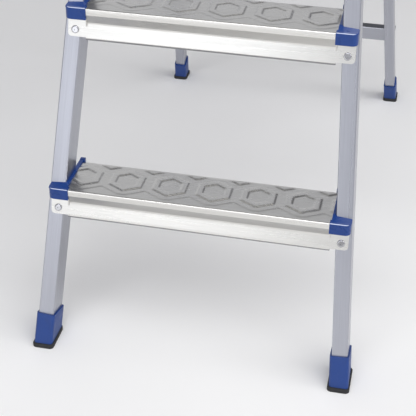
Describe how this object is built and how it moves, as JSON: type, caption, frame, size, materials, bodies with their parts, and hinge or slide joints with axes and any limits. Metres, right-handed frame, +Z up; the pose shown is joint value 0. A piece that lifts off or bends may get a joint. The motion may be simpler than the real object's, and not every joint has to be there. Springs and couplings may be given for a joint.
{
  "type": "step ladder",
  "caption": "Folding aluminium step ladder with embossed treads, blue plastic end caps, a flip-up platform and a guard hoop.",
  "frame": {"origin": "on the floor, in the middle of the rectangle round the four feet", "axes": "+Z up, +X to the climber's right, +Y from the treads towards the rear frame"},
  "size_m": [0.4612, 0.9101, 1.5632],
  "materials": {
    "rail": "satin, lengthwise extrusion grain",
    "tread_sheet": "semi-bright pressed sheet, embossed",
    "blue_cap": "moulded, semi-gloss",
    "blue_shoe": "moulded, fine texture",
    "dark_plastic": "moulded, matt",
    "sole": "ribbed",
    "rivet": "bright domed heads",
    "steel_pin": "zinc plated",
    "hoop_tube": "drawn tube, satin",
    "brace": "rolled channel, satin"
  },
  "bodies": {
    "front_frame": {"front_rail_left": "rail", "front_rail_right": "rail", "front_shoe_left": "blue_shoe", "front_shoe_right": "blue_shoe", "front_sole_left": "sole", "front_sole_right": "sole", "guard_hoop": "hoop_tube", "head_rivets_left": "rivet", "head_rivets_right": "rivet", "hinge_head_left": "blue_cap", "hinge_head_right": "blue_cap", "hinge_pin_left": "steel_pin", "hinge_pin_right": "steel_pin", "hoop_grip": "blue_cap", "platform_pins": "steel_pin", "tread_1": "tread_sheet", "tread_2": "tread_sheet", "tread_3": "tread_sheet", "tread_cap_1_left": "blue_cap", "tread_cap_1_right": "blue_cap", "tread_cap_2_left": "blue_cap", "tread_cap_2_right": "blue_cap", "tread_cap_3_left": "blue_cap", "tread_cap_3_right": "blue_cap", "tread_rivets_1": "rivet", "tread_rivets_2": "rivet", "tread_rivets_3": "rivet"},
    "platform": {"bar_stop_left": "dark_plastic", "bar_stop_right": "dark_plastic", "platform_pan": "tread_sheet", "platform_rivets": "rivet", "platform_saddle_left": "dark_plastic", "platform_saddle_right": "dark_plastic", "platform_side_cap_left": "blue_cap", "platform_side_cap_right": "blue_cap"},
    "rear_frame": {"brace_rivets_lower": "rivet", "brace_rivets_middle": "rivet", "leg_knuckle_left": "dark_plastic", "leg_knuckle_right": "dark_plastic", "rear_brace_lower": "brace", "rear_brace_middle": "brace", "rear_leg_left": "rail", "rear_leg_right": "rail", "rear_shoe_left": "blue_shoe", "rear_shoe_right": "blue_shoe", "rear_sole_left": "sole", "rear_sole_right": "sole", "rest_bar": "hoop_tube", "rest_bar_bolts": "steel_pin"}
  },
  "joints": [
    {"name": "platform_lift", "type": "hinge", "parent": "front_frame", "child": "platform", "pos_m": [0, -0.16093, 0.938], "axis": [1, 0, 0], "range_deg": [0, 74]},
    {"name": "rear_frame_fold", "type": "hinge", "parent": "front_frame", "child": "rear_frame", "pos_m": [0, -0.04731, 1.2], "axis": [-1, 0, 0], "range_deg": [0, 37]}
  ]
}
